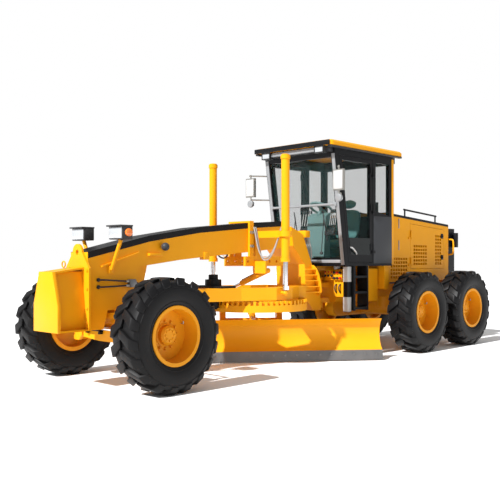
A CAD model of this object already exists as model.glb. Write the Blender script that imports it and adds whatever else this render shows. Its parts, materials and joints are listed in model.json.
"""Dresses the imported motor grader: finishes for its solids, and the small fittings that they carry.

Metres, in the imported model's own frame: X ahead, Y to the driver's left, Z up from the ground.
"""

from __future__ import annotations

import json
import logging
import math
from dataclasses import dataclass
from enum import Enum
from typing import Iterable, Sequence

import bpy
from mathutils import Matrix, Vector

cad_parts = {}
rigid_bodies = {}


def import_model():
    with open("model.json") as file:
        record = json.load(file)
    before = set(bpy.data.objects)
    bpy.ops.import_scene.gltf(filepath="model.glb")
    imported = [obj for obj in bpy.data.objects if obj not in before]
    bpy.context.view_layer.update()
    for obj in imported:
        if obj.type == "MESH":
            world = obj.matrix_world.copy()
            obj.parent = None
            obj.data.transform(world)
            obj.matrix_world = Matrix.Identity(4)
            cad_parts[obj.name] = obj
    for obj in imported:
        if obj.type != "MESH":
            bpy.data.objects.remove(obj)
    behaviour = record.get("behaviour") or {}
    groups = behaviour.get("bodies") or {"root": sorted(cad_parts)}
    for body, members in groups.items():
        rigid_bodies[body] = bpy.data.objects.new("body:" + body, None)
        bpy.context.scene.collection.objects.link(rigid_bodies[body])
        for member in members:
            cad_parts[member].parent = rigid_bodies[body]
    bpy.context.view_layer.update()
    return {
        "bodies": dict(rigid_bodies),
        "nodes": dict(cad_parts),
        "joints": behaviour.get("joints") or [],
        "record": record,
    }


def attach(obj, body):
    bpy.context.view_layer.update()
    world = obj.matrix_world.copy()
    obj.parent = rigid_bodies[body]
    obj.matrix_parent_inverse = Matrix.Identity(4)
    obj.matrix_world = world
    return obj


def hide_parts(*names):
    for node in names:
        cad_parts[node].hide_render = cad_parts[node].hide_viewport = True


LOG = logging.getLogger("grader")

Point = tuple[float, float, float]
Pair = tuple[float, float]
Colour = tuple[float, float, float]
Piece = bpy.types.Object

# Modelling values
SMOOTH_ANGLE = math.radians(35)
MERGE_GAP = 0.0002
POLE_RADIUS = 0.0005
PIPE_ORDER = 4
PIPE_STEPS = 6
PIPE_ROUNDING = 2
HEX_SIDES = 6
HEAD_BEVEL_SHARE = 0.12
WASHER_SIDES = 14
WASHER_REACH = 1.35
WASHER_HEIGHT_SHARE = 0.25
WASHER_SINK = 0.001
ORIGIN = (0, 0, 0)
ALONG_X = (1, 0, 0)
ALONG_Y = (0, 1, 0)
ALONG_Z = (0, 0, 1)
MIRROR_Y = Matrix.Scale(-1, 4, ALONG_Y)

# Surface pattern that all finishes share
MOTTLE_SCALE = 3.5
MOTTLE_DETAIL = 6.0
GRAIN_DETAIL = 3.0
GRAIN_DEPTH = 0.004
GLOSS_SPREAD = 0.08
LEAST_ROUGHNESS = 0.02
COAT_ROUGHNESS = 0.08
DUST_TOP = 1.5
DUST_COLOUR = (0.36, 0.29, 0.2)


class Side(Enum):
    """The two sides of the machine, each with its sign along Y."""

    LEFT = 1
    RIGHT = -1


# Finishes


@dataclass(frozen=True)
class Finish:
    """A procedural surface: a base colour with mottle, ground dust and fine grain.

    Attributes:
        name: The material's name.
        slot: The record's slot that pieces with this finish belong to.
        colour: Base colour, linear.
        roughness: Middle roughness.
        metallic: Metallic share.
        coat: Clear-coat weight.
        specular: Strength of the plain reflection.
        mottle: How far the colour wanders, as a share.
        dust: Share of dust at ground level, fading out by DUST_TOP.
        grain: Scale of the fine bump.
        relief: Strength of the fine bump.
        alpha: Opacity.
    """

    name: str
    slot: str
    colour: Colour
    roughness: float = 0.4
    metallic: float = 0.0
    coat: float = 0.0
    specular: float = 0.5
    mottle: float = 0.08
    dust: float = 0.0
    grain: float = 180.0
    relief: float = 0.04
    alpha: float = 1.0

    def material(self) -> bpy.types.Material:
        """Return the finish's material, made on its first use.

        Returns:
            The node material.
        """
        known = bpy.data.materials.get(self.name)
        if known is not None:
            return known
        material = bpy.data.materials.new(self.name)
        material.use_nodes = True
        nodes = material.node_tree.nodes
        links = material.node_tree.links
        shader = nodes["Principled BSDF"]
        shader.inputs["Metallic"].default_value = self.metallic
        shader.inputs["Coat Weight"].default_value = self.coat
        shader.inputs["Coat Roughness"].default_value = COAT_ROUGHNESS
        shader.inputs["Specular IOR Level"].default_value = self.specular
        shader.inputs["Alpha"].default_value = self.alpha
        place = nodes.new("ShaderNodeTexCoord")

        wander = nodes.new("ShaderNodeTexNoise")
        wander.inputs["Scale"].default_value = MOTTLE_SCALE
        wander.inputs["Detail"].default_value = MOTTLE_DETAIL
        links.new(place.outputs["Object"], wander.inputs["Vector"])
        tint = nodes.new("ShaderNodeMix")
        tint.data_type = "RGBA"
        tint.inputs["A"].default_value = (*(c * (1 - self.mottle) for c in self.colour), 1)
        tint.inputs["B"].default_value = (*(min(1.0, c * (1 + self.mottle)) for c in self.colour), 1)
        links.new(wander.outputs["Fac"], tint.inputs["Factor"])
        links.new(self.dusted(nodes, links, place, wander, tint), shader.inputs["Base Color"])

        gloss = nodes.new("ShaderNodeMapRange")
        gloss.inputs["To Min"].default_value = max(LEAST_ROUGHNESS, self.roughness - GLOSS_SPREAD)
        gloss.inputs["To Max"].default_value = min(1.0, self.roughness + GLOSS_SPREAD)
        links.new(wander.outputs["Fac"], gloss.inputs["Value"])
        links.new(gloss.outputs["Result"], shader.inputs["Roughness"])

        fine = nodes.new("ShaderNodeTexNoise")
        fine.inputs["Scale"].default_value = self.grain
        fine.inputs["Detail"].default_value = GRAIN_DETAIL
        links.new(place.outputs["Object"], fine.inputs["Vector"])
        bump = nodes.new("ShaderNodeBump")
        bump.inputs["Strength"].default_value = self.relief
        bump.inputs["Distance"].default_value = GRAIN_DEPTH
        links.new(fine.outputs["Fac"], bump.inputs["Height"])
        links.new(bump.outputs["Normal"], shader.inputs["Normal"])
        return material

    def dusted(
        self,
        nodes: bpy.types.Nodes,
        links: bpy.types.NodeLinks,
        place: bpy.types.Node,
        wander: bpy.types.Node,
        tint: bpy.types.Node,
    ) -> bpy.types.NodeSocket:
        """Return the colour socket, with dust laid over it near the ground.

        Args:
            nodes: The material's nodes.
            links: The material's links.
            place: The texture coordinate node.
            wander: The coarse noise node.
            tint: The mottled colour node.

        Returns:
            The colour output to use as the base colour.
        """
        if not self.dust:
            return tint.outputs["Result"]
        split = nodes.new("ShaderNodeSeparateXYZ")
        links.new(place.outputs["Object"], split.inputs["Vector"])
        fade = nodes.new("ShaderNodeMapRange")
        fade.inputs["From Max"].default_value = DUST_TOP
        fade.inputs["To Min"].default_value = self.dust
        fade.inputs["To Max"].default_value = 0.0
        links.new(split.outputs["Z"], fade.inputs["Value"])
        patches = nodes.new("ShaderNodeMath")
        patches.operation = "MULTIPLY"
        links.new(fade.outputs["Result"], patches.inputs[0])
        links.new(wander.outputs["Fac"], patches.inputs[1])
        laid = nodes.new("ShaderNodeMix")
        laid.data_type = "RGBA"
        laid.inputs["B"].default_value = (*DUST_COLOUR, 1)
        links.new(patches.outputs["Value"], laid.inputs["Factor"])
        links.new(tint.outputs["Result"], laid.inputs["A"])
        return laid.outputs["Result"]


YELLOW = Finish("yellow_paint", "yellow", (0.8, 0.335, 0.004), 0.42,
                coat=0.05, specular=0.15, dust=0.05, mottle=0.05)
RIM_PAINT = Finish("rim_paint", "rim_orange", (0.76, 0.3, 0.004), 0.45,
                   coat=0.05, specular=0.15, dust=0.08)
BLACK = Finish("black_paint", "dark", (0.006, 0.0064, 0.0075), 0.4, specular=0.16, dust=0.01)
DARK_PANEL = Finish("dark_panel", "dark", (0.04, 0.042, 0.047), 0.45, specular=0.25)
PLASTIC = Finish("black_plastic", "dark", (0.02, 0.02, 0.021), 0.55, grain=400, relief=0.15)
CONSOLE = Finish("console_teal", "dark", (0.14, 0.25, 0.24), 0.5, grain=400, relief=0.15)
RUBBER = Finish("tyre_rubber", "tyre", (0.0035, 0.0035, 0.0042), 0.48,
                specular=0.2, dust=0.015, grain=260, relief=0.25)
HOSE = Finish("hose_rubber", "dark", (0.014, 0.014, 0.015), 0.45, grain=500, relief=0.2)
PALE_HOSE = Finish("pale_hose", "dark", (0.3, 0.29, 0.28), 0.5, grain=500, relief=0.2)
CHROME = Finish("rod_chrome", "rod_chrome", (0.78, 0.79, 0.8), 0.12, metallic=1.0, mottle=0.02, relief=0.0)
STEEL = Finish("worn_steel", "edge_steel", (0.2, 0.2, 0.205), 0.45,
               metallic=0.85, mottle=0.3, dust=0.15, relief=0.12)
ZINC = Finish("zinc_bolts", "edge_steel", (0.42, 0.41, 0.38), 0.35, metallic=0.9, mottle=0.12)
SILVER = Finish("silver_paint", "edge_steel", (0.26, 0.27, 0.28), 0.4, metallic=0.2, mottle=0.06)
WHITE = Finish("white_paint", "glass", (0.47, 0.47, 0.46), 0.45, dust=0.12)
ENGINE = Finish("engine_iron", "engine_grey", (0.12, 0.12, 0.12), 0.6, metallic=0.3)
SEAT_CLOTH = Finish("seat_cloth_teal", "seat_cloth", (0.09, 0.25, 0.24), 0.8,
                    grain=700, relief=0.5, mottle=0.15)
GLASS = Finish("cab_glass_tint", "glass", (0.015, 0.045, 0.042), 0.04, mottle=0.02, relief=0.0, alpha=0.15)
DARK_GLASS = Finish("dark_glass", "glass", (0.004, 0.007, 0.007), 0.06, coat=0.2, mottle=0.02, relief=0.0)
MIRROR = Finish("mirror_silver", "rod_chrome", (0.86, 0.88, 0.9), 0.05, metallic=1.0, mottle=0.01, relief=0.0)
LENS = Finish("lamp_lens", "glass", (0.4, 0.42, 0.44), 0.12, coat=0.6, grain=120, relief=0.2, mottle=0.03)
AMBER = Finish("amber_lens", "rim_orange", (0.85, 0.2, 0.03), 0.2, coat=0.5, grain=200, relief=0.2)
RED = Finish("red_lens", "rim_orange", (0.6, 0.02, 0.015), 0.25, coat=0.5, grain=200, relief=0.2)
FLOOR = Finish("floor_white", "glass", (0.9, 0.9, 0.9), 0.9, mottle=0.005, relief=0.0)

NODE_FINISH: dict[Finish, list[str]] = {
    YELLOW: (
        "front_frame push_block lift_saddle lift_barrels drawbar circle tilt_bracket moldboard "
        "shift_barrel tip_barrel front_axle lean_bracket_left lean_bracket_right knuckle_left knuckle_right "
        "lean_bar rear_frame rear_axle hood_shell hood_door_left hood_door_right cab_roof side_boxes"
    ).split(),
    BLACK: (
        "cab_frame door_left door_right rear_grille hood_rails ladders axle_barrels tie_rod circle_drive"
    ).split(),
    PLASTIC: ["headlamps", "work_lamps"],
    CONSOLE: ["console"],
    CHROME: ["lift_rods", "lean_rod", "steer_rod", "shift_rod", "tip_rod"],
    STEEL: ["cutting_edge"],
    ZINC: ["mirrors"],
    ENGINE: ["engine"],
    GLASS: ["cab_glass", "door_left_glass", "door_right_glass"],
    SEAT_CLOTH: ["seat"],
}


# Modelling helpers


def start() -> None:
    """Deselect everything before an operator is used."""
    if bpy.context.object is not None and bpy.context.object.mode != "OBJECT":
        bpy.ops.object.mode_set(mode="OBJECT")
    bpy.ops.object.select_all(action="DESELECT")


def settle(piece: Piece) -> Piece:
    """Apply a piece's place, turn and scale to its mesh.

    Args:
        piece: The mesh object.

    Returns:
        The same object.
    """
    start()
    piece.select_set(True)
    bpy.context.view_layer.objects.active = piece
    bpy.ops.object.transform_apply(location=True, rotation=True, scale=True)
    return piece


def rounded(piece: Piece, width: float, segments: int = 2) -> Piece:
    """Bevel a piece's sharp edges and apply the modifier.

    Args:
        piece: The mesh object.
        width: Bevel width; nothing is done at zero.
        segments: Rounds of the bevel.

    Returns:
        The same object.
    """
    if width > 0:
        bevel = piece.modifiers.new("edges", "BEVEL")
        bevel.width = width
        bevel.segments = segments
        bevel.limit_method = "ANGLE"
        bevel.angle_limit = SMOOTH_ANGLE
        bpy.context.view_layer.objects.active = piece
        bpy.ops.object.modifier_apply(modifier=bevel.name)
    return piece


def slab(low: Point, high: Point, bevel: float = 0.004) -> Piece:
    """Return a block with eased edges between two corners.

    Args:
        low: Lowest corner.
        high: Highest corner.
        bevel: Width of the eased edges.

    Returns:
        The mesh object.
    """
    start()
    middle = [(a + b) / 2 for a, b in zip(low, high)]
    bpy.ops.mesh.primitive_cube_add(size=1, location=middle)
    piece = bpy.context.object
    piece.scale = [abs(b - a) for a, b in zip(low, high)]
    return rounded(settle(piece), bevel)


def rod(tail: Point, head: Point, radius: float, sides: int = 20, bevel: float = 0.0) -> Piece:
    """Return a round bar between two points.

    Args:
        tail: Middle of one end.
        head: Middle of the other end.
        radius: The bar's radius.
        sides: Flats round the bar.
        bevel: Width of the eased ends.

    Returns:
        The mesh object.
    """
    start()
    run = Vector(head) - Vector(tail)
    bpy.ops.mesh.primitive_cylinder_add(vertices=sides, radius=radius, depth=run.length)
    piece = bpy.context.object
    piece.location = (Vector(head) + Vector(tail)) / 2
    piece.rotation_euler = run.to_track_quat("Z", "Y").to_euler()
    return rounded(settle(piece), bevel)


def pipe(route: Sequence[Point], radius: float) -> Piece:
    """Return a smooth tube along a route of control points.

    Args:
        route: The control points, ends included.
        radius: The tube's radius.

    Returns:
        The tube as a mesh.
    """
    start()
    bpy.ops.curve.primitive_nurbs_path_add()
    piece = bpy.context.object
    line = piece.data.splines[0]
    line.points.add(max(0, len(route) - len(line.points)))
    spare = len(line.points) - len(route)
    places = [*route, *[route[-1]] * spare]
    for point, place in zip(line.points, places):
        point.co = (*place, 1)
    line.use_endpoint_u = True
    line.order_u = min(PIPE_ORDER, len(route))
    line.resolution_u = PIPE_STEPS
    piece.data.bevel_depth = radius
    piece.data.bevel_resolution = PIPE_ROUNDING
    piece.data.use_fill_caps = True
    bpy.ops.object.convert(target="MESH")
    return settle(bpy.context.object)


def loft(sections: Sequence[Sequence[Vector]], closed: bool = False) -> Piece:
    """Return a surface through rows of points, made from a grid.

    Args:
        sections: Rows of points, all of one length.
        closed: True where the last row meets the first, so that the seam is merged.

    Returns:
        The mesh object.
    """
    start()
    rows, columns = len(sections), len(sections[0])
    bpy.ops.mesh.primitive_grid_add(x_subdivisions=columns - 1, y_subdivisions=rows - 1, size=2)
    piece = bpy.context.object
    for vertex in piece.data.vertices:
        column = round((vertex.co.x + 1) / 2 * (columns - 1))
        row = round((vertex.co.y + 1) / 2 * (rows - 1))
        vertex.co = sections[row][column]
    bpy.ops.object.mode_set(mode="EDIT")
    bpy.ops.mesh.select_all(action="SELECT")
    if closed:
        bpy.ops.mesh.remove_doubles(threshold=MERGE_GAP)
    bpy.ops.mesh.normals_make_consistent(inside=False)
    bpy.ops.object.mode_set(mode="OBJECT")
    return piece


def prism(sections: Sequence[Sequence[Vector]]) -> Piece:
    """Return a closed solid through rings of points, with flat ends.

    Args:
        sections: Rings of points from one end to the other, all of one length.

    Returns:
        The mesh object.
    """
    piece = loft([[*ring, ring[0]] for ring in sections], closed=True)
    bpy.ops.object.mode_set(mode="EDIT")
    bpy.ops.mesh.select_all(action="SELECT")
    bpy.ops.mesh.fill_holes(sides=len(sections[0]))
    bpy.ops.mesh.normals_make_consistent(inside=False)
    bpy.ops.object.mode_set(mode="OBJECT")
    return piece


def lathe(profile: Sequence[Pair], place: Point, axis: Point, steps: int) -> Piece:
    """Return a turned piece.

    Args:
        profile: (distance along the axis, radius) pairs.
        place: The point that the profile is measured from.
        axis: The turning axis.
        steps: Number of steps round.

    Returns:
        The mesh object.
    """
    turn = Vector(axis).to_track_quat("Z", "Y").to_matrix()
    sections = []
    for step in range(steps + 1):
        angle = 2 * math.pi * step / steps
        ring = [Vector((r * math.cos(angle), r * math.sin(angle), along)) for along, r in profile]
        sections.append([Vector(place) + turn @ point for point in ring])
    return loft(sections, closed=True)


def copy_of(piece: Piece, move: Matrix) -> Piece:
    """Return a copy of a piece with its own mesh.

    Args:
        piece: The mesh object.
        move: The matrix that moves the copy's mesh.

    Returns:
        The copy, facing outwards even where the matrix mirrors it.
    """
    twin = piece.copy()
    twin.data = piece.data.copy()
    twin.data.transform(move)
    if move.determinant() < 0:
        twin.data.flip_normals()
    bpy.context.collection.objects.link(twin)
    return twin


def joined(pieces: Iterable[Piece]) -> Piece:
    """Join pieces into one object.

    Args:
        pieces: The mesh objects.

    Returns:
        The joined object.
    """
    group = list(pieces)
    start()
    for piece in group:
        piece.select_set(True)
    bpy.context.view_layer.objects.active = group[0]
    if len(group) > 1:
        bpy.ops.object.join()
    return bpy.context.object


def dress(piece: Piece, name: str, body: str, finish: Finish) -> Piece:
    """Name and finish a piece, and let it ride on a body.

    Args:
        piece: The mesh object.
        name: The piece's name.
        body: The body that carries it.
        finish: Its surface.

    Returns:
        The same object.
    """
    start()
    piece.select_set(True)
    bpy.context.view_layer.objects.active = piece
    bpy.ops.object.shade_smooth_by_angle(angle=SMOOTH_ANGLE)
    piece.name = name
    piece.data.materials.clear()
    piece.data.materials.append(finish.material())
    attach(piece, body)
    LOG.info("piece %s on %s", name, body)
    return piece


def bolts(places: Iterable[Point], axis: Point, radius: float, height: float) -> Piece:
    """Return hexagon bolt heads on washers, one at each place.

    Args:
        places: Points on the surface.
        axis: The way the heads point.
        radius: Radius of a head across its corners.
        height: Height of a head.

    Returns:
        One mesh with all the bolts.
    """
    way = Vector(axis).normalized()
    head = rod(ORIGIN, tuple(way * height), radius, HEX_SIDES, bevel=radius * HEAD_BEVEL_SHARE)
    washer_ends = [tuple(-way * WASHER_SINK), tuple(way * height * WASHER_HEIGHT_SHARE)]
    washer = rod(*washer_ends, radius * WASHER_REACH, WASHER_SIDES)
    model = joined([head, washer])
    heads = [copy_of(model, Matrix.Translation(place)) for place in places]
    bpy.data.objects.remove(model)
    return joined(heads)


def span(side: Side, near: float, far: float) -> Pair:
    """Return a stretch along Y on one side, lowest first."""
    ends = sorted((side.value * near, side.value * far))
    return ends[0], ends[1]


def out_from(y: float, route: Sequence[Point]) -> list[Point]:
    """Return a route whose middle numbers are measured outwards from a face at y."""
    return [(x, y + out, z) for x, out, z in route]


def ring_places(centre: Point, radius: float, count: int) -> list[Point]:
    """Return places on a circle round an axis along Y."""
    steps = [2 * math.pi * number / count for number in range(count)]
    return [(centre[0] + radius * math.cos(a), centre[1], centre[2] + radius * math.sin(a)) for a in steps]


# Wheels


@dataclass
class Wheels:
    """Six lugged tyres, with the bolts, rings and valves of their rims."""

    front_x: float = 3.36
    middle_x: float = -2.091
    rear_x: float = -3.629
    half_track: float = 1.078
    radius: float = 0.675
    steps_round: int = 72
    bead_half: float = 0.1757
    bead_radius: float = 0.3185
    lug_count: int = 18
    lug_phase: float = math.radians(4.1)
    lug_crown: float = 0.9
    lug_root: float = 1.15
    disc_out: float = -0.03
    cap_out: float = 0.06
    disc_bolt_count: int = 12
    disc_bolt_circle: float = 0.165
    cap_bolt_count: int = 8
    cap_bolt_circle: float = 0.062
    valve_back: float = 0.245
    valve_rise: float = 0.12

    def carcass(self) -> Piece:
        """Return the tyre's body without its lugs.

        Returns:
            The mesh, centred on the origin with its axis along Y.
        """
        half = [(self.bead_half, 0.353), (0.2, 0.39), (0.2165, 0.44), (0.2215, 0.49), (0.2195, 0.54)]
        half += [(0.211, 0.585), (0.19, 0.617), (0.15, 0.632), (0.07, 0.637)]
        far_half = [(-along, r) for along, r in reversed(half)]
        bore = [(-self.bead_half, self.bead_radius), (self.bead_half, self.bead_radius), half[0]]
        body = lathe([*half, *far_half, *bore], ORIGIN, ALONG_Y, self.steps_round)
        rings = ((0.4, 0.2045), (0.565, 0.2155))
        ribs = [self.wall_rib(side, radius, out) for side in Side for radius, out in rings]
        return joined([body, *ribs])

    def wall_rib(self, side: Side, radius: float, out: float) -> Piece:
        """Return a raised ring on a side wall.

        Args:
            side: The tyre's side.
            radius: The ring's radius.
            out: Where the wall stands at that radius.

        Returns:
            The mesh object.
        """
        foot, crown = 0.007, 0.004
        sunk, proud = out - 0.008, out + 0.003
        outline = [(sunk, radius - foot), (proud, radius - crown), (proud, radius + crown)]
        outline += [(sunk, radius + foot), (sunk, radius - foot)]
        return lathe([(side.value * along, r) for along, r in outline], ORIGIN, ALONG_Y, self.steps_round)

    def lug(self) -> Piece:
        """Return one lug: a skewed bar from the tread's middle over the shoulder and down the wall.

        Returns:
            The mesh, at the top of a tyre that is centred on the origin.
        """
        top = [(-0.014, 0.6735), (0.05, 0.675), (0.115, 0.675)]
        top += [(0.168, 0.6745), (0.205, 0.631), (0.2222, 0.585)]
        foot = [(-0.008, 0.628), (0.05, 0.626), (0.115, 0.624)]
        foot += [(0.155, 0.61), (0.185, 0.595), (0.205, 0.568)]
        skew = [0.0, 0.05, 0.115, 0.165, 0.195, 0.205]
        width = [0.07, 0.084, 0.096, 0.1, 0.096, 0.086]
        sections = []
        for (y_top, r_top), (y_foot, r_foot), lean, half in zip(top, foot, skew, width):
            crown, root = half * self.lug_crown, half * self.lug_root
            corners = [(y_top, r_top, crown), (y_top, r_top, -crown)]
            corners += [(y_foot, r_foot, -root), (y_foot, r_foot, root)]
            ring = [(y, r, lean + turn) for y, r, turn in corners]
            sections.append([Vector((r * math.sin(a), y, r * math.cos(a))) for y, r, a in ring])
        return rounded(prism(sections), 0.006)

    def tyre(self) -> Piece:
        """Return a whole tyre, with its two staggered rows of lugs.

        Returns:
            The mesh, centred on the origin with its axis along Y.
        """
        lug = self.lug()
        pitch = 2 * math.pi / self.lug_count
        lugs = []
        for number in range(self.lug_count):
            turn = number * pitch + self.lug_phase
            stagger = (number + 0.5) * pitch + self.lug_phase
            lugs.append(copy_of(lug, Matrix.Rotation(turn, 4, "Y")))
            lugs.append(copy_of(lug, Matrix.Rotation(stagger, 4, "Y") @ MIRROR_Y))
        bpy.data.objects.remove(lug)
        return joined([self.carcass(), *lugs])

    def build(self) -> None:
        """Make and dress all six wheels."""
        model = self.tyre()
        rows = {"front": self.front_x, "middle": self.middle_x, "rear": self.rear_x}
        for row, x in rows.items():
            for side in Side:
                name = f"{row}_{side.name.lower()}"
                centre = (x, side.value * self.half_track, self.radius)
                place = Matrix.Translation(centre)
                if side is Side.RIGHT:
                    place = place @ MIRROR_Y
                tyre = dress(copy_of(model, place), f"lugged_tyre_{name}", f"wheel_{name}", RUBBER)
                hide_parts(f"tyre_{name}")
                self.rim_fittings(name, centre, side)
        bpy.data.objects.remove(model)

    def rim_fittings(self, name: str, centre: Point, side: Side) -> None:
        """Add the wheel bolts, hub-cap bolts, rings and valve of one rim.

        Args:
            name: The wheel's name.
            centre: The wheel's centre.
            side: The machine's side that it is on.
        """
        body = f"wheel_{name}"
        out = (0, side.value, 0)
        x, y, z = centre
        disc = (x, y + side.value * self.disc_out, z)
        cap = (x, y + side.value * self.cap_out, z)
        disc_places = ring_places(disc, self.disc_bolt_circle, self.disc_bolt_count)
        cap_places = ring_places(cap, self.cap_bolt_circle, self.cap_bolt_count)
        heads = [
            bolts(disc_places, out, radius=0.017, height=0.024),
            bolts(cap_places, out, radius=0.011, height=0.012),
        ]
        dress(joined(heads), f"wheel_bolts_{name}", body, RIM_PAINT)
        hub_edge = [(0.0, 0.112), (0.012, 0.112), (0.016, 0.122), (0.012, 0.136), (0.0, 0.14), (0.0, 0.112)]
        hub_ring = lathe(hub_edge, disc, out, 48)
        lip_edge = [(0.176, 0.326), (0.1905, 0.324), (0.192, 0.335)]
        lip_edge += [(0.192, 0.346), (0.188, 0.3515), (0.176, 0.326)]
        rim_lip = lathe(lip_edge, centre, out, 64)
        dress(joined([hub_ring, rim_lip]), f"rim_rings_{name}", body, RIM_PAINT)
        foot = (disc[0] - self.valve_back, disc[1], disc[2] + self.valve_rise)
        bend = (foot[0] + 0.01, foot[1] + side.value * 0.05, foot[2])
        tip = (bend[0], bend[1], bend[2] + 0.03)
        stem = joined([rod(foot, bend, 0.006, sides=10, bevel=0.001), rod(bend, tip, 0.008, sides=10)])
        dress(stem, f"valve_{name}", body, ZINC)


# Front frame


@dataclass
class Neck:
    """The gooseneck's trim, push box, lamps, hoses and hitch flanges."""

    half_width: float = 0.185
    band_drop: float = 0.075
    band_wall: float = 0.004
    skin: float = 0.001
    flange_x: float = 3.875
    flange_half: float = 0.255
    flange_thick: float = 0.028
    flange_bolt_margin: float = 0.035
    flange_bolt_levels: tuple[float, ...] = (0.8, 0.965, 1.2, 1.42)
    plate_x: float = 4.305
    plate_thick: float = 0.045
    plate_low: float = 0.7
    plate_break: float = 1.02
    plate_top: float = 1.41
    plate_half: float = 0.27
    plate_half_high: float = 0.15
    wall_half: float = 0.17
    wall_half_high: float = 0.11
    wall_overlap: float = 0.002
    cover_back: float = 1.46
    cover_thick: float = 0.022
    floor_half: float = 0.25
    lamp_x: float = 3.52
    lamp_y: float = 0.41
    lamp_half: float = 0.142
    hose_radius: float = 0.011
    drop_half: float = 0.296

    def build(self) -> None:
        """Make and dress the neck's pieces."""
        ahead = [(3.842, 1.642), (3.38, 1.75), (2.92, 1.858), (2.06, 1.994), (1.115, 2.084)]
        behind = [(1.025, 2.093), (0.64, 2.119), (0.3, 2.142)]
        dress(joined([self.band(ahead), self.band(behind)]), "neck_band", "front", BLACK)
        self.push_box()
        self.nose()
        self.lamps()
        self.hydraulics()
        self.brackets()
        self.hitch_flanges()
        self.drop_hoses()

    def band(self, line: Sequence[Pair]) -> Piece:
        """Return a black cap along the neck's top edge.

        Args:
            line: (x, z) points along the top.

        Returns:
            The cap as a thin shell.
        """
        side = self.half_width + self.skin
        ring = [(-side, -self.band_drop), (-side, self.skin), (side, self.skin), (side, -self.band_drop)]
        cap = loft([[Vector((x, y, z + rise)) for y, rise in ring] for x, z in line])
        wall = cap.modifiers.new("wall", "SOLIDIFY")
        wall.thickness = self.band_wall
        wall.offset = 1.0
        bpy.ops.object.modifier_apply(modifier=wall.name)
        return cap

    def push_box(self) -> None:
        """Add the push block as plates: its sides stand in from the front plate, inside the flange's edge."""
        inner_x = self.plate_x - self.plate_thick
        levels = (self.plate_low, self.plate_break, self.plate_top)
        front = list(zip((self.plate_half, self.plate_half, self.plate_half_high), levels))
        walls = list(zip((self.wall_half, self.wall_half, self.wall_half_high), levels))
        floor = self.plate_low + self.cover_thick
        plates = [
            self.block(front, inner_x, self.plate_x),
            self.block(walls, self.flange_x, inner_x + self.wall_overlap),
            self.cover(self.plate_top, self.cover_back, self.plate_half_high),
            self.cover(floor, floor, self.floor_half),
        ]
        box = dress(joined(plates), "push_box", "front", YELLOW)
        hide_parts("push_block")

    def block(self, half: Sequence[Pair], back: float, front: float) -> Piece:
        """Return a block with the same section on both sides of the machine's middle.

        Args:
            half: (y, z) points of the left half, from the bottom up.
            back: Where the block starts along X.
            front: Where it ends.

        Returns:
            The mesh object.
        """
        ring = [*half, *[(-y, z) for y, z in reversed(half)]]
        return rounded(prism([[Vector((x, y, z)) for y, z in ring] for x in (back, front)]), 0.004)

    def cover(self, front_z: float, back_z: float, half: float) -> Piece:
        """Return a plate from the front plate back to the flange.

        Args:
            front_z: Height of its upper face at the front.
            back_z: Height of its upper face at the flange.
            half: Half its width.

        Returns:
            The mesh object.
        """
        inner_x = self.plate_x - self.plate_thick
        rings = []
        for x, z in ((inner_x + self.wall_overlap, front_z), (self.flange_x, back_z)):
            low = z - self.cover_thick
            corners = ((-half, low), (half, low), (half, z), (-half, z))
            rings.append([Vector((x, *corner)) for corner in corners])
        return prism(rings)

    def nose(self) -> None:
        """Add the bolts on both faces of the push block's flange, and the lifting eye on the block."""
        heads = []
        for side in Side:
            y = side.value * (self.flange_half - self.flange_bolt_margin)
            for z in self.flange_bolt_levels:
                heads.append(bolts([(self.flange_x, y, z)], ALONG_X, radius=0.016, height=0.012))
                behind = (self.flange_x - self.flange_thick, y, z)
                heads.append(bolts([behind], (-1, 0, 0), radius=0.016, height=0.016))
        dress(joined(heads), "nose_bolts", "front", RIM_PAINT)
        eye, eye_radius, bar_radius = (4.0, -0.1, 1.494), 0.036, 0.009
        turns = [2 * math.pi * number / 12 for number in range(13)]
        section = [(bar_radius * math.sin(turn), eye_radius + bar_radius * math.cos(turn)) for turn in turns]
        dress(lathe(section, eye, ALONG_X, 32), "nose_ring", "front", YELLOW)

    def lamps(self) -> None:
        """Add the cases, lenses, struts and turn lamps of the headlamps."""
        cases, lenses, struts, turns = [], [], [], []
        brim, frame = 0.004, 0.014
        foot_y, foot_z, head_z, strut_radius = 0.21, 1.43, 1.805, 0.0235
        turn_z, turn_radius = 1.878, 0.048
        for side in Side:
            y = side.value * self.lamp_y
            low, high = y - self.lamp_half, y + self.lamp_half
            cases.append(slab((3.452, low, 1.795), (3.604, high, 1.956), bevel=0.01))
            cases.append(slab((3.45, low - brim, 1.95), (3.64, high + brim, 1.968)))
            lenses.append(slab((3.598, low + frame, 1.809), (3.61, high - frame, 1.943)))
            foot = Vector((self.lamp_x, side.value * foot_y, foot_z))
            head = foot.lerp(Vector((self.lamp_x, y, head_z)), 0.97)
            struts.append(rod(tuple(foot), tuple(head), strut_radius))
            plate = span(side, self.half_width, foot_y + 0.001)
            struts.append(slab((3.484, plate[0], 1.384), (3.556, plate[1], 1.476), bevel=0.003))
            outer = y + side.value * self.lamp_half
            ends = [(self.lamp_x, outer + side.value * out, turn_z) for out in (-0.004, 0.03)]
            turns.append(rod(*ends, turn_radius, sides=28, bevel=0.008))
        dress(joined(cases), "headlamp_cases", "front", PLASTIC)
        dress(joined(lenses), "headlamp_lenses", "front", LENS)
        dress(joined(struts), "headlamp_struts", "front", YELLOW)
        dress(joined(turns), "turn_lamps", "front", AMBER)

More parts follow.
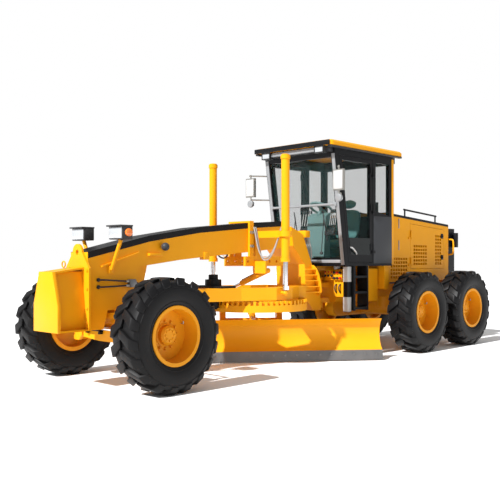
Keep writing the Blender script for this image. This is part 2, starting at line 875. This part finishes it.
    def hydraulics(self) -> None:
        """Add the accumulator, the valve block and the hoses along the neck's left side."""
        y = self.half_width
        ball_x, ball_z, ball_radius = 2.704, 1.72, 0.054
        turns = [math.pi * number / 16 for number in range(17)]
        half_round = [(math.cos(a) * ball_radius, max(math.sin(a) * ball_radius, POLE_RADIUS)) for a in turns]
        ball = lathe(half_round, (ball_x, y + 0.06, ball_z), ALONG_Y, 32)
        stem = rod((ball_x, y, ball_z), (ball_x, y + 0.02, ball_z), 0.022, bevel=0.003)
        dress(joined([ball, stem]), "accumulator", "front", DARK_PANEL)
        block = joined([
            slab((3.17, y, 1.205), (3.265, y + 0.055, 1.305)),
            slab((3.145, y, 1.225), (3.17, y + 0.04, 1.285), bevel=0.003),
        ])
        dress(block, "valve_block", "front", STEEL)
        hoses, ferrules = [], []
        for z, rise in ((1.28, 0.025), (1.228, -0.01)):
            end = z + rise
            fitting = out_from(y, [(3.7, -0.001, end), (3.7, 0.02, end)])
            ahead = [(3.265, 0.03, z), (3.36, 0.034, z + rise * 0.2), (3.52, 0.036, z + rise * 0.7)]
            ahead += [(3.66, 0.034, end), (3.7, 0.02, end), (3.7, -0.001, end)]
            down = [(3.145, 0.025, z - 0.02), (3.08, 0.026, z - 0.03), (3.03, 0.03, z - 0.12)]
            down += [(3.06, 0.03, z - 0.22), (3.1, -0.02, z - 0.3)]
            hoses.append(pipe(out_from(y, ahead), self.hose_radius))
            hoses.append(rod(*fitting, 0.024, bevel=0.004))
            hoses.append(pipe(out_from(y, down), 0.01))
            sleeve = out_from(y, [(3.262, 0.03, z), (3.31, 0.032, z)])
            ferrules.append(rod(*sleeve, 0.017, sides=12, bevel=0.002))
        dress(joined(hoses), "neck_hoses", "front", HOSE)
        dress(joined(ferrules), "hose_ferrules", "front", ZINC)

    def brackets(self) -> None:
        """Add the step by the accumulator, the ribs on the neck's sides, and the clamp and hose below."""
        y = self.half_width
        step = slab((2.74, y, 1.6), (2.95, y + 0.05, 1.634))
        clamp = slab((1.88, 0.1, 1.55), (1.98, y + 0.012, 1.66), bevel=0.005)
        sunk, proud, half = y - self.skin, y + 0.024, 0.009
        ring = [(sunk, -half), (sunk, half), (proud, half), (proud, -half)]
        ends = ((3.655, 1.468), (3.09, 1.642))
        ribs = []
        for side in Side:
            sections = [[Vector((x, side.value * out, z + rise)) for out, rise in ring] for x, z in ends]
            ribs.append(prism(sections))
        dress(joined([step, clamp, *ribs]), "neck_brackets", "front", YELLOW)
        loop = [(1.7, 0.12, 1.72), (1.68, 0.13, 1.62), (1.58, 0.14, 1.55)]
        loop += [(1.48, 0.14, 1.58), (1.44, 0.12, 1.72)]
        dress(pipe(loop, self.hose_radius), "neck_hose_loop", "front", HOSE)

    def hitch_flanges(self) -> None:
        """Add the hitch flanges on the drop's sides with their ribs, and the bracket on the drop's back."""
        high, low = Vector((-0.2, 0, 1.46)), Vector((-0.35, 0, 0.98))
        outline = ((0.0, 0.335), (0.1, 0.385), (0.3, 0.415), (0.6, 0.425), (0.88, 0.405), (1.0, 0.345))
        thick = Vector((-0.019, 0, 0.006))
        rib_front, rib_low, rib_high, rib_half = -0.05, 0.312, 0.385, 0.007
        pieces = []
        for side in Side:
            sections = []
            for share, reach in outline:
                root = high.lerp(low, share) + Vector((0, side.value * self.drop_half, 0))
                edge = high.lerp(low, share) + Vector((0, side.value * reach, 0))
                sections.append([root, edge, edge + thick, root + thick])
            pieces.append(rounded(prism(sections), 0.003))
            for share in (0.12, 0.31, 0.5, 0.69, 0.88):
                back = high.lerp(low, share)
                rib = [(back.x, self.drop_half), (rib_front, self.drop_half)]
                rib += [(rib_front, rib_low), (back.x, rib_high)]
                levels = (back.z - rib_half, back.z + rib_half)
                pieces.append(prism([[Vector((x, side.value * y, z)) for x, y in rib] for z in levels]))
        pieces.append(slab((-0.19, -0.02, 1.9), (-0.07, 0.29, 2.01), bevel=0.012))
        dress(joined(pieces), "hitch_flanges", "front", YELLOW)

    def drop_hoses(self) -> None:
        """Add the pale hoses from the bracket down the back of the drop."""
        route = [(-0.165, 1.905), (-0.178, 1.86), (-0.232, 1.74), (-0.245, 1.6), (-0.22, 1.52), (-0.15, 1.48)]
        first_y, pitch = 0.272, 0.036
        rows = [first_y - pitch * number for number in range(3)]
        hoses = [pipe([(x, y, z) for x, z in route], self.hose_radius) for y in rows]
        dress(joined(hoses), "drop_hoses", "front", PALE_HOSE)


# Blade lift, circle and blade


@dataclass
class BladeGear:
    """Hoses, caps and bolts of the lift, the centre-shift cylinder and the blade."""

    lift_x: float = 0.93
    lift_y: float = 0.76
    lift_collar: float = 2.99
    lift_top: float = 3.05
    lift_radius: float = 0.06
    hose_radius: float = 0.011
    saddle_face: float = 0.225
    circle_x: float = 0.76
    angle: float = math.radians(52.3)
    half_length: float = 1.98
    edge_bolt_count: int = 22
    edge_margin: float = 0.1
    edge_face: float = 0.066
    edge_bolt_z: float = 0.105
    edge_tilt: float = 0.1

    def build(self) -> None:
        """Make and dress the pieces."""
        self.lift_hoses()
        self.shift_pipe()
        self.lift_caps()
        self.saddle_bolts()
        self.edge_bolts()

    def lift_hoses(self) -> None:
        """Add the two hose loops from the neck to each lift cylinder; those on the right hang higher."""
        sags = {Side.LEFT: (0.05, -0.06, 0.06), Side.RIGHT: (0.1, 0.0, 0.1)}
        loops = []
        for number, reach in enumerate((0.0, 0.035)):
            low = 1.6 - reach
            for side, (near, middle, far) in sags.items():
                route = [(1.03 - reach, 0.23, 2.03), (1.03 - reach, 0.26, 1.95)]
                route += [(1.02 - reach, 0.3, low + near), (0.99, 0.42, low + middle)]
                route += [(0.96, 0.56, low + far), (0.94, 0.63, 1.86), (0.94, 0.69, 1.99 + number * 0.03)]
                loops.append(pipe([(x, side.value * y, z) for x, y, z in route], self.hose_radius))
        dress(joined(loops), "lift_hoses", "front", PALE_HOSE)

    def lift_caps(self) -> None:
        """Add the collars and domed caps at the tops of the lift cylinders."""
        inner, outer, height = self.lift_radius, self.lift_radius + 0.01, 0.05
        collar = [(0.0, inner), (0.0, outer), (height, outer), (height, inner)]
        dome = [(0.0, inner), (0.006, 0.057), (0.01, 0.04), (0.01, POLE_RADIUS)]
        collars, caps = [], []
        for side in Side:
            y = side.value * self.lift_y
            collars.append(lathe(collar, (self.lift_x, y, self.lift_collar), ALONG_Z, 32))
            caps.append(lathe(dome, (self.lift_x, y, self.lift_top), ALONG_Z, 32))
        dress(joined([*collars, *caps]), "lift_caps", "front", YELLOW)

    def saddle_bolts(self) -> None:
        """Add the bolts on the lift saddle's side plates."""
        heads = []
        for side in Side:
            places = [(x, side.value * self.saddle_face, z) for x in (1.05, 1.09) for z in (1.75, 1.95)]
            heads.append(bolts(places, (0, side.value, 0), radius=0.017, height=0.016))
        dress(joined(heads), "saddle_bolts", "front", ZINC)

    def shift_pipe(self) -> None:
        """Add the oil pipe along the top of the centre-shift cylinder's barrel."""
        pivot = Vector((self.lift_x, 0.4, 1.39))
        run = (Vector((self.lift_x, -0.43, 1.085)) - pivot).normalized()
        lift = Vector((0, run.z, -run.y))
        near, far, foot, bend, clear = 0.1, 0.52, 0.036, 0.046, 0.048
        steps = [(near, foot), (near, bend), (0.14, clear), (0.3, clear)]
        steps += [(0.48, clear), (far, bend), (far, foot)]
        tube = pipe([tuple(pivot + run * along + lift * out) for along, out in steps], 0.0065)
        clips = []
        for along in (near, far):
            ends = [tuple(pivot + run * along + lift * out) for out in (0.03, 0.051)]
            clips.append(rod(*ends, 0.016, sides=16, bevel=0.002))
        dress(joined([tube, *clips]), "shift_pipe", "shift_barrel_body", HOSE)

    def on_blade(self, x: float, y: float, z: float) -> Point:
        """Return the point at x ahead of the blade's line, y along it and height z."""
        across = (math.cos(self.angle), math.sin(self.angle))
        return (self.circle_x + x * across[0] - y * across[1], x * across[1] + y * across[0], z)

    def edge_bolts(self) -> None:
        """Add the row of bolts along the cutting edge."""
        way = (math.cos(self.angle), math.sin(self.angle), self.edge_tilt)
        first = -self.half_length + self.edge_margin
        step = 2 * (self.half_length - self.edge_margin) / (self.edge_bolt_count - 1)
        along = [first + step * number for number in range(self.edge_bolt_count)]
        places = [self.on_blade(self.edge_face, y, self.edge_bolt_z) for y in along]
        dress(bolts(places, way, radius=0.016, height=0.009), "edge_bolts", "blade_body", STEEL)


# Cab


@dataclass
class Cab:
    """Trim, lamps, mirrors, seat, controls and valve bank of the cab."""

    half_width: float = 0.74
    floor: float = 1.45
    top: float = 3.312
    front_low: float = -0.505
    front_high: float = -0.232
    back: float = -1.815
    roof_front: float = -0.04
    roof_back: float = -2.03
    roof_half: float = 0.815
    roof_low: float = 3.312
    roof_top: float = 3.392
    rail_z: float = 2.42
    rail_half: float = 0.67
    rail_radius: float = 0.02
    mirror_y: float = 0.93
    mirror_half: float = 0.085
    bank_x: float = -0.9

    def front(self, z: float) -> float:
        """Return where the sloping front stands at a height."""
        share = (z - self.floor) / (self.top - self.floor)
        return self.front_low + share * (self.front_high - self.front_low)

    def build(self) -> None:
        """Make and dress the cab's pieces."""
        self.screen_rail()
        self.wipers()
        self.roof_lining()
        for side in Side:
            self.door_fittings(side)
        self.pillar_strips()
        self.panels_and_posts()
        self.valve_bank()
        self.lamps()
        self.mirror_faces()
        self.seat()
        self.controls()
        self.post_bands()

    def screen_rail(self) -> None:
        """Add the rail across the windscreen."""
        x, z = self.front(self.rail_z) + 0.012, self.rail_z
        half, half_height = self.rail_radius, 0.03
        pieces = [rod((x, -self.rail_half, z), (x, self.rail_half, z), self.rail_radius, sides=16)]
        for side in Side:
            y = side.value * self.rail_half
            pieces.append(slab((x - half, y - half, z - half_height), (x + half, y + half, z + half_height)))
        dress(joined(pieces), "screen_rail", "rear", SILVER)

    def wipers(self) -> None:
        """Add the two windscreen wipers: arm, blade and pivot."""
        pieces = []
        pivot_z, arm_z, blade_low, blade_high, blade_out = 1.66, 2.25, 1.85, 2.33, 0.014
        pivot_x = self.front(pivot_z) + 0.02
        for y in (-0.3, 0.3):
            arm = [(pivot_x, y, pivot_z), (self.front(arm_z) + 0.016, y + 0.12, arm_z)]
            pieces.append(rod(*arm, 0.007, sides=8))
            foot = (self.front(blade_low) + blade_out, y + 0.14, blade_low)
            tip = (self.front(blade_high) + blade_out, y + 0.1, blade_high)
            pieces.append(rod(foot, tip, 0.009, sides=6))
            pivot = [(pivot_x - 0.015, y, pivot_z - 0.005), (pivot_x + 0.01, y, pivot_z)]
            pieces.append(rod(*pivot, 0.025, sides=16, bevel=0.003))
        dress(joined(pieces), "wipers", "rear", PLASTIC)

    def roof_lining(self) -> None:
        """Add the dark gutters below the roof's sides and the fascia over the screen."""
        ceiling = self.roof_low - 0.001
        pieces = []
        for side in Side:
            low = (self.roof_back, side.value * 0.73, self.roof_low - 0.03)
            pieces.append(slab(low, (self.roof_front - 0.03, side.value * 0.795, ceiling), bevel=0.006))
        low = (self.front(3.2) - 0.01, -0.7, self.roof_low - 0.085)
        pieces.append(slab(low, (self.roof_front - 0.1, 0.7, ceiling), bevel=0.008))
        dress(joined(pieces), "roof_lining", "rear", DARK_PANEL)

    def door_fittings(self, side: Side) -> None:
        """Add one door's pull and its dark lower pane.

        Args:
            side: The machine's side that the door is on.
        """
        name = side.name.lower()
        y = side.value * self.half_width
        out = side.value * 0.035
        route = [(-0.64, 0, 1.745), (-0.645, out, 1.745), (-0.7, out, 1.7)]
        route += [(-0.775, out, 1.645), (-0.79, 0, 1.64)]
        dress(pipe(out_from(y, route), 0.012), f"door_pull_{name}", f"door_{name}_body", WHITE)
        hinge_x, inset, low, high = -1.165, 0.165, 1.63, 1.9
        pane = [(hinge_x, low), (hinge_x, high)]
        pane += [(self.front(z) - inset, z) for z in (high, low)]
        faces = (y - side.value * 0.002, y + side.value * 0.003)
        sections = [[Vector((x, face, z)) for x, z in pane] for face in faces]
        dress(prism(sections), f"door_low_pane_{name}", f"door_{name}_body", DARK_GLASS)

    def pillar_strips(self) -> None:
        """Add the pale strips down the front pillars and the sill below the screen."""
        near, far, sunk, proud = 0.668, 0.728, -0.002, 0.008
        ring = [(sunk, near), (proud, near), (proud, far), (sunk, far)]
        strips = []
        for side in Side:
            sections = []
            for z in (1.47, 3.2):
                sections.append([Vector((self.front(z) + out, side.value * y, z)) for out, y in ring])
            strips.append(prism(sections))
        x = self.front(1.53)
        strips.append(slab((x - 0.012, -0.66, 1.5), (x + 0.012, 0.66, 1.55)))
        dress(joined(strips), "pillar_strips", "rear", SILVER)

    def panels_and_posts(self) -> None:
        """Add the dark quarter panels, the roof's dark front lip and the yellow rear corner posts."""
        proud = self.half_width + 0.004
        panels, posts = [], []
        for side in Side:
            skin = span(side, self.half_width - 0.002, proud)
            panels.append(slab((-1.8, skin[0], 1.49), (-1.275, skin[1], 2.27), bevel=0.002))
        dress(joined(panels), "quarter_panels", "rear", DARK_PANEL)
        lip_half = self.roof_half - 0.025
        low = (self.roof_front - 0.012, -lip_half, self.roof_low - 0.004)
        lip = slab(low, (self.roof_front + 0.008, lip_half, self.roof_top - 0.008), bevel=0.005)
        dress(lip, "roof_lip", "rear", BLACK)
        for side in Side:
            y = span(side, 0.68, proud)
            posts.append(slab((self.back - 0.045, y[0], 1.47), (self.back + 0.02, y[1], 3.25), bevel=0.006))
        dress(joined(posts), "rear_posts", "rear", YELLOW)

    def valve_bank(self) -> None:
        """Add the hydraulic valve bank under the cab's left front corner, with its caps, pipes and filter."""
        casing = [
            slab((self.bank_x, 0.36, 0.95), (-0.7, 0.57, 1.4), bevel=0.008),
            slab((-0.86, 0.33, 1.0), (-0.8, 0.37, 1.15)),
            slab((-0.7, 0.38, 1.22), (-0.665, 0.55, 1.38), bevel=0.006),
            slab((self.bank_x, 0.16, 1.22), (-0.72, 0.37, 1.41), bevel=0.008),
            slab((-0.72, 0.18, 1.26), (-0.69, 0.35, 1.38), bevel=0.006),
            slab((self.bank_x - 0.03, -0.36, 1.37), (self.bank_x + 0.01, 0.4, 1.446)),
        ]
        dress(joined(casing), "valve_bank", "rear", YELLOW)
        caps, reds = [], []
        for column, y in enumerate((0.405, 0.465, 0.525)):
            for row, z in enumerate((1.255, 1.345)):
                cap = rod((-0.667, y, z), (-0.635, y, z), 0.02, sides=16, bevel=0.003)
                group = reds if (row + column) % 3 == 2 else caps
                group.append(cap)
        for y in (0.2, 0.265, 0.33):
            caps.append(rod((-0.692, y, 1.29), (-0.665, y, 1.29), 0.018, sides=16, bevel=0.003))
            reds.append(rod((-0.692, y, 1.35), (-0.672, y, 1.35), 0.012, sides=12, bevel=0.002))
        bend = [(-0.698, 1.15), (-0.66, 1.15), (-0.645, 1.1), (-0.66, 1.03), (-0.698, 1.02)]
        for y in (0.42, 0.5):
            caps.append(pipe([(x, y, z) for x, z in bend], 0.012))
        dress(joined(caps), "valve_caps", "rear", HOSE)
        dress(joined(reds), "valve_marks", "rear", RED)
        can = rod((-0.745, 0.39, 1.39), (-0.745, 0.39, 1.446), 0.052, sides=28, bevel=0.006)
        dress(can, "oil_filter", "rear", WHITE)

    def lamps(self) -> None:
        """Add the lenses of the roof lamps and the pale light strip between them."""
        lenses = []
        for side in Side:
            y = span(side, 0.485, 0.635)
            for back in (-0.074, -2.022):
                lenses.append(slab((back, y[0], 3.217), (back + 0.01, y[1], 3.297)))
        dress(joined(lenses), "work_lenses", "rear", LENS)
        strip_half = 0.46
        low = (self.roof_front - 0.105, -strip_half, 3.235)
        strip = slab(low, (self.roof_front - 0.05, strip_half, 3.3), bevel=0.006)
        dress(strip, "visor_strip", "rear", SILVER)

    def mirror_faces(self) -> None:
        """Add the silvered faces and pale backs of the mirrors, and the round mirrors below them."""
        x = self.front(2.76) + 0.22
        low, high, round_z = 2.62, 2.9, 2.49
        faces, backs, rounds = [], [], []
        for side in Side:
            near, far = span(side, self.mirror_y - self.mirror_half, self.mirror_y + self.mirror_half)
            faces.append(slab((x - 0.026, near, low), (x - 0.019, far, high), bevel=0.003))
            backs.append(slab((x + 0.019, near, low), (x + 0.03, far, high), bevel=0.008))
            y = side.value * self.mirror_y
            faces.append(rod((x - 0.026, y, round_z), (x - 0.019, y, round_z), 0.055, sides=32, bevel=0.002))
            rounds.append(rod((x - 0.02, y, round_z), (x + 0.028, y, round_z), 0.062, sides=32, bevel=0.014))
        dress(joined(faces), "mirror_glass", "rear", MIRROR)
        dress(joined(backs), "mirror_backs", "rear", WHITE)
        dress(joined(rounds), "round_mirrors", "rear", SILVER)

    def cushion(self, low: Point, high: Point, lean: float = 0.0) -> Piece:
        """Return a crowned cushion between two corners.

        Args:
            low: Lowest corner.
            high: Highest corner.
            lean: How far the top leans back.

        Returns:
            The cushion's mesh.
        """
        thin, thin_pull, wide_pull = 0.15, 0.35, 0.13
        pad = slab(low, high, bevel=0.0)
        start()
        bpy.context.view_layer.objects.active = pad
        pad.select_set(True)
        bpy.ops.object.mode_set(mode="EDIT")
        bpy.ops.mesh.select_all(action="SELECT")
        bpy.ops.mesh.subdivide(number_cuts=5)
        bpy.ops.object.mode_set(mode="OBJECT")
        middle = [(a + b) / 2 for a, b in zip(low, high)]
        half = [abs(b - a) / 2 for a, b in zip(low, high)]
        for vertex in pad.data.vertices:
            share = [(c - m) / h for c, m, h in zip(vertex.co, middle, half)]
            for axis in range(3):
                others = [abs(share[k]) for k in range(3) if k != axis]
                pull = half[axis] * (wide_pull if half[axis] > thin else thin_pull)
                vertex.co[axis] -= math.copysign(pull * max(others) ** 3, share[axis]) * abs(share[axis])
            vertex.co.x -= lean * (share[2] + 1) / 2
        soft = pad.modifiers.new("soft", "SUBSURF")
        soft.levels = 1
        soft.render_levels = 1
        bpy.ops.object.modifier_apply(modifier=soft.name)
        return pad

    def seat(self) -> None:
        """Add the seat's cushions on its base, in place of the plain seat."""
        base = joined([
            slab((-1.55, -0.2, 1.51), (-1.15, 0.2, 1.6), bevel=0.02),
            slab((-1.47, -0.14, 1.6), (-1.23, 0.14, 1.74), bevel=0.015),
            slab((-1.58, -0.22, 1.74), (-1.12, 0.22, 1.77), bevel=0.01),
        ])
        dress(base, "seat_base", "rear", PLASTIC)
        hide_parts("seat")
        pads = {
            "seat_cushion": self.cushion((-1.6, -0.26, 1.77), (-1.085, 0.26, 1.9)),
            "seat_back": self.cushion((-1.6, -0.25, 1.9), (-1.47, 0.25, 2.42), lean=0.05),
            "head_rest": self.cushion((-1.65, -0.14, 2.44), (-1.54, 0.14, 2.59), lean=0.01),
        }
        for name, pad in pads.items():
            dress(pad, name, "rear", SEAT_CLOTH)

    def controls(self) -> None:
        """Add the lever banks beside the console, with their knobs and bellows."""
        foot_z, first_y, pitch = 2.02, 0.215, 0.045
        folds = [(0.0, 0.03), (0.02, 0.022), (0.04, 0.028), (0.06, 0.018), (0.08, 0.024), (0.1, 0.012)]
        levers, knobs, bellows = [], [], []
        for side in Side:
            for number in range(4):
                y = side.value * (first_y + pitch * number)
                x = -0.75 + 0.01 * number
                levers.append(rod((x, y, foot_z), (x - 0.07, y, 2.33), 0.007, sides=8))
                knobs.append(rod((x - 0.068, y, 2.32), (x - 0.08, y, 2.38), 0.016, sides=12, bevel=0.005))
                bellows.append(lathe(folds, (x, y, foot_z), (-0.22, 0, 1), 14))
            box = span(side, 0.19, 0.39)
            bellows.append(slab((-0.84, box[0], 1.95), (-0.66, box[1], foot_z), bevel=0.012))
        dress(joined(levers), "control_levers", "rear", WHITE)
        dress(joined([*knobs, *bellows]), "lever_knobs", "rear", PLASTIC)

    def post_bands(self) -> None:
        """Add the pale bands round the posts below the cab's front corners."""
        bands = []
        for side in Side:
            y = span(side, 0.654, 0.741)
            for low, high in ((1.2, 1.44), (0.73, 0.96)):
                bands.append(slab((-0.661, y[0], low), (-0.559, y[1], high)))
        dress(joined(bands), "post_bands", "rear", WHITE)


# Hood


@dataclass
class Hood:
    """Latches, handles, lamps and trim of the engine hood."""

    half_width: float = 0.6
    front_x: float = -1.84
    back_x: float = -3.94
    front_top: float = 2.36
    back_top: float = 2.217
    grab_x: float = -3.99
    grab_y: float = 0.558

    def top(self, x: float) -> float:
        """Return the hood's height at a place along it."""
        share = (x - self.front_x) / (self.back_x - self.front_x)
        return self.front_top + share * (self.back_top - self.front_top)

    def build(self) -> None:
        """Make and dress the hood's pieces."""
        for side in Side:
            name = side.name.lower()
            dress(self.latches(side), f"hood_latches_{name}", f"hood_{name}_body", BLACK)
            dress(self.grab(side), f"hood_grab_{name}", "rear", YELLOW)
            face = span(side, self.half_width, self.half_width + 0.008)
            strips = [
                slab((-2.242, face[0], z), (-2.218, face[1], z + 0.17), bevel=0.003)
                for z in (1.72, 2.1)
            ]
            dress(joined(strips), f"hood_strips_{name}", "rear", SILVER)
            dress(self.edge_band(side), f"hood_edge_{name}", "rear", BLACK)
        self.tail_lamps()

    def latches(self, side: Side) -> Piece:
        """Return the two latches of one hood door: a plate and a round lock each.

        Args:
            side: The machine's side that the door is on.

        Returns:
            The mesh object.
        """
        plate = span(side, self.half_width, self.half_width + 0.012)
        lock = [side.value * (self.half_width + out) for out in (0.01, 0.026)]
        pieces = []
        for z in (1.55, 1.95):
            pieces.append(slab((-3.735, plate[0], z), (-3.66, plate[1], z + 0.09)))
            pieces.append(rod(*[(-3.7, y, z + 0.045) for y in lock], 0.018, bevel=0.003))
        return joined(pieces)

    def grab(self, side: Side) -> Piece:
        """Return the grab handle at one rear corner."""
        route = [(0.0, 1.65), (0.1, 1.65), (0.12, 1.66), (0.125, 1.8), (0.12, 1.93), (0.1, 1.94), (0.0, 1.94)]
        return pipe([(self.grab_x, side.value * (self.grab_y + out), z) for out, z in route], 0.015)

    def edge_band(self, side: Side) -> Piece:
        """Return the dark band along the hood's upper edge.

        Args:
            side: The machine's side that the band is on.

        Returns:
            The mesh object.
        """
        out, sunk, inner = self.half_width + 0.003, self.half_width - 0.002, self.half_width - 0.22
        ring = [(out, -0.04), (out, 0.003), (inner, 0.003), (inner, -0.002), (sunk, -0.002), (sunk, -0.04)]
        sections = []
        for x in (self.front_x - 0.01, self.back_x + 0.01):
            sections.append([Vector((x, side.value * y, self.top(x) + rise)) for y, rise in ring])
        return prism(sections)

    def tail_lamps(self) -> None:
        """Add the tail lamps in their boxes beside the rear grille."""
        frame = 0.014
        boxes, lenses = [], []
        for side in Side:
            y = span(side, 0.556, 0.65)
            boxes.append(slab((-4.235, y[0], 1.79), (-4.15, y[1], 2.07), bevel=0.008))
            lenses.append(slab((-4.245, y[0] + frame, 1.81), (-4.232, y[1] - frame, 2.05), bevel=0.005))
        dress(joined(boxes), "tail_lamp_boxes", "rear", BLACK)
        dress(joined(lenses), "tail_lamps", "rear", RED)


# Stage


@dataclass
class Stage:
    """The photograph's camera, plain studio light and a pale floor."""

    eye: Point = (8.766, 7.733, 1.55)
    heading: float = math.radians(134.43)
    lens: float = 52.83
    sensor: float = 36.0
    shift_y: float = 0.0195
    far_limit: float = 200.0
    sky: float = 0.52
    sun: float = 6.5
    sun_angle: float = math.radians(1.5)
    sun_from: Point = (0.84, 0.02, 0.72)
    floor_size: float = 120.0
    floor_z: float = -0.002

    def build(self) -> None:
        """Set the camera, the sun, the world and the floor."""
        scene = bpy.context.scene
        scene.view_settings.view_transform = "Standard"
        view = bpy.data.cameras.new("photo_camera")
        view.lens = self.lens
        view.sensor_width = self.sensor
        view.shift_y = self.shift_y
        view.clip_end = self.far_limit
        camera = bpy.data.objects.new("photo_camera", view)
        camera.location = self.eye
        camera.rotation_euler = (math.pi / 2, 0, self.heading)
        scene.collection.objects.link(camera)
        scene.camera = camera

        lamp = bpy.data.lights.new("sun", "SUN")
        lamp.energy = self.sun
        lamp.angle = self.sun_angle
        sun = bpy.data.objects.new("sun", lamp)
        sun.rotation_euler = Vector(self.sun_from).to_track_quat("Z", "Y").to_euler()
        scene.collection.objects.link(sun)
        self.world(scene)
        self.floor()

    def world(self, scene: bpy.types.Scene) -> None:
        """Light the scene from all round, and show white where the camera looks past the object.

        Args:
            scene: The scene to light.
        """
        world = bpy.data.worlds.new("studio")
        world.use_nodes = True
        nodes = world.node_tree.nodes
        links = world.node_tree.links
        back = nodes["Background"]
        back.inputs["Color"].default_value = (1, 1, 1, 1)
        path = nodes.new("ShaderNodeLightPath")
        seen = nodes.new("ShaderNodeMath")
        seen.operation = "MAXIMUM"
        links.new(path.outputs["Is Camera Ray"], seen.inputs[0])
        links.new(path.outputs["Is Transmission Ray"], seen.inputs[1])
        level = nodes.new("ShaderNodeMapRange")
        level.inputs["To Min"].default_value = self.sky
        level.inputs["To Max"].default_value = 1.0
        links.new(seen.outputs["Value"], level.inputs["Value"])
        links.new(level.outputs["Result"], back.inputs["Strength"])
        scene.world = world

    def floor(self) -> None:
        """Lay a wide pale floor."""
        start()
        bpy.ops.mesh.primitive_plane_add(size=self.floor_size, location=(0, 0, self.floor_z))
        floor = bpy.context.object
        floor.name = "studio_floor"
        floor.data.materials.append(FLOOR.material())


def finish_nodes(nodes: dict[str, Piece]) -> None:
    """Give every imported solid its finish.

    Args:
        nodes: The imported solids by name.
    """
    chosen = {name: finish for finish, names in NODE_FINISH.items() for name in names}
    for name, node in nodes.items():
        finish = chosen.get(name, RIM_PAINT if name.startswith("rim_") else RUBBER)
        node.data.materials.clear()
        node.data.materials.append(finish.material())


def main() -> None:
    """Load the frame, dress it and note its size."""
    logging.basicConfig(level=logging.INFO, format="%(message)s")
    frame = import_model()
    finish_nodes(frame["nodes"])
    for assembly in (Wheels(), Neck(), BladeGear(), Cab(), Hood()):
        assembly.build()
    Stage().build()


if __name__ == "__main__":
    main()
